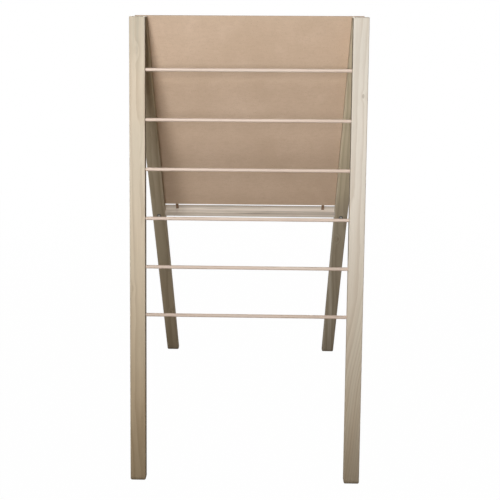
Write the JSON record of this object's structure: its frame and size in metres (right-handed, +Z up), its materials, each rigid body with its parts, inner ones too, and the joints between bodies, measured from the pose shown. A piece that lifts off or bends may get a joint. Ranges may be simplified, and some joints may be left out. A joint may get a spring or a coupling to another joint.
{
  "type": "clothes drying rack",
  "caption": "Folding wooden A-frame drying rack: round hanging rungs between two front posts, hinged at the top to a rear frame with a board panel and a ledge.",
  "frame": {"origin": "centre of the footprint on the floor, rack standing open", "axes": "+Z up, +X to the right across the rungs, +Y from the rung frame towards the panelled rear frame"},
  "size_m": [0.61, 0.7234, 1.1652],
  "materials": {
    "front_wood": "bare weathered softwood",
    "rung_wood": "smooth bare dowel",
    "rear_wood": "bare weathered softwood",
    "panel_board": "matte brown hardboard",
    "ledge_wood": "grey weathered softwood",
    "steel": "dull zinc plate"
  },
  "bodies": {
    "rear_frame": {"rear_left_leg": "rear_wood", "rear_right_leg": "rear_wood", "back_panel": "panel_board", "ledge": "ledge_wood", "panel_peg_left": "panel_board", "panel_peg_right": "panel_board", "leg_screw_left": "steel", "leg_washer_left": "steel", "hinge_left_rear_leaf": "steel", "leg_screw_right": "steel", "leg_washer_right": "steel", "hinge_right_rear_leaf": "steel", "hinge_rear_screws": "steel", "panel_screws": "steel"},
    "front_frame": {"front_left_post": "front_wood", "front_right_post": "front_wood", "rung_1": "rung_wood", "rung_2": "rung_wood", "rung_3": "rung_wood", "rung_4": "rung_wood", "rung_5": "rung_wood", "rung_6": "rung_wood", "hinge_left_front_leaf": "steel", "hinge_left_pin": "steel", "hinge_right_front_leaf": "steel", "hinge_right_pin": "steel", "hinge_front_screws": "steel"}
  },
  "joints": [
    {"name": "fold", "type": "hinge", "parent": "rear_frame", "child": "front_frame", "pos_m": [0, 0, 1.15056], "axis": [1, 0, 0], "range_deg": [0, 33]}
  ]
}
